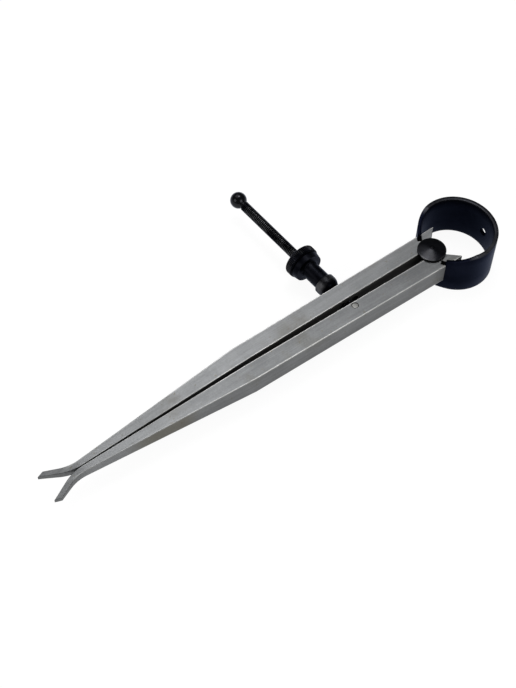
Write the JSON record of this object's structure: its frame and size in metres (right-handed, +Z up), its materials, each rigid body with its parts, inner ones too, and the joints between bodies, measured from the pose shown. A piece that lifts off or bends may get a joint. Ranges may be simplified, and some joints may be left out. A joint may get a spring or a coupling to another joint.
{
  "type": "inside caliper",
  "caption": "Spring-type inside caliper with out-turned feet, bow spring, fulcrum stud and a knurled nut on a ball-ended adjusting screw.",
  "frame": {"origin": "bottom centre of the whole tool, at the level of the bow spring's lower edge", "axes": "+X from the feet towards the bow spring, +Y from the pinned leg towards the ball of the adjusting screw, +Z up along the fulcrum"},
  "size_m": [0.1742, 0.0744, 0.0165],
  "materials": {
    "leg_steel": "satin, ground lengthwise",
    "pin_steel": "satin, peened ends",
    "spring_black": "blue-black oxide, soft sheen",
    "turned_black": "blue-black oxide over turned steel"
  },
  "bodies": {
    "fulcrum": {"fulcrum_stud": "turned_black", "bow_spring": "spring_black"},
    "slotted_leg_body": {"slotted_leg": "leg_steel"},
    "pinned_leg_body": {"pinned_leg": "leg_steel", "swivel_pin": "pin_steel"},
    "screw_body": {"adjusting_screw": "turned_black"},
    "washer_body": {"seat_washer": "turned_black"},
    "nut_body": {"adjusting_nut": "turned_black"}
  },
  "joints": [
    {"name": "slotted_leg_swing", "type": "hinge", "parent": "fulcrum", "child": "slotted_leg_body", "pos_m": [0.06296, -0.02345, 0.00825], "axis": [0, 0, -1], "range_deg": [0, 22], "deforming": ["bow_spring"]},
    {"name": "pinned_leg_swing", "type": "hinge", "parent": "fulcrum", "child": "pinned_leg_body", "pos_m": [0.06296, -0.02345, 0.00825], "axis": [0, 0, 1], "range_deg": [0, 22]},
    {"name": "screw_swivel", "type": "hinge", "parent": "pinned_leg_body", "child": "screw_body", "pos_m": [0.02834, -0.02608, 0.00825], "axis": [0, 0, 1], "range_deg": [-28.9, 0]},
    {"name": "nut_travel", "type": "slide", "parent": "screw_body", "child": "washer_body", "axis": [-0.0497, 0.9988, 0], "range_m": [0, 0.0264]},
    {"name": "nut_spin", "type": "hinge", "parent": "washer_body", "child": "nut_body", "pos_m": [0.02834, -0.02608, 0.00825], "axis": [-0.0497, 0.9988, 0], "range_deg": [0, 14616]}
  ],
  "couplings": [
    {"joint": "slotted_leg_swing", "follows": "nut_spin", "ratio": 0.0015047},
    {"joint": "pinned_leg_swing", "follows": "nut_spin", "ratio": 0.0015047},
    {"joint": "screw_swivel", "follows": "nut_spin", "ratio": -0.0019712},
    {"joint": "nut_travel", "follows": "nut_spin", "m_per_rad": 0.00010345}
  ]
}
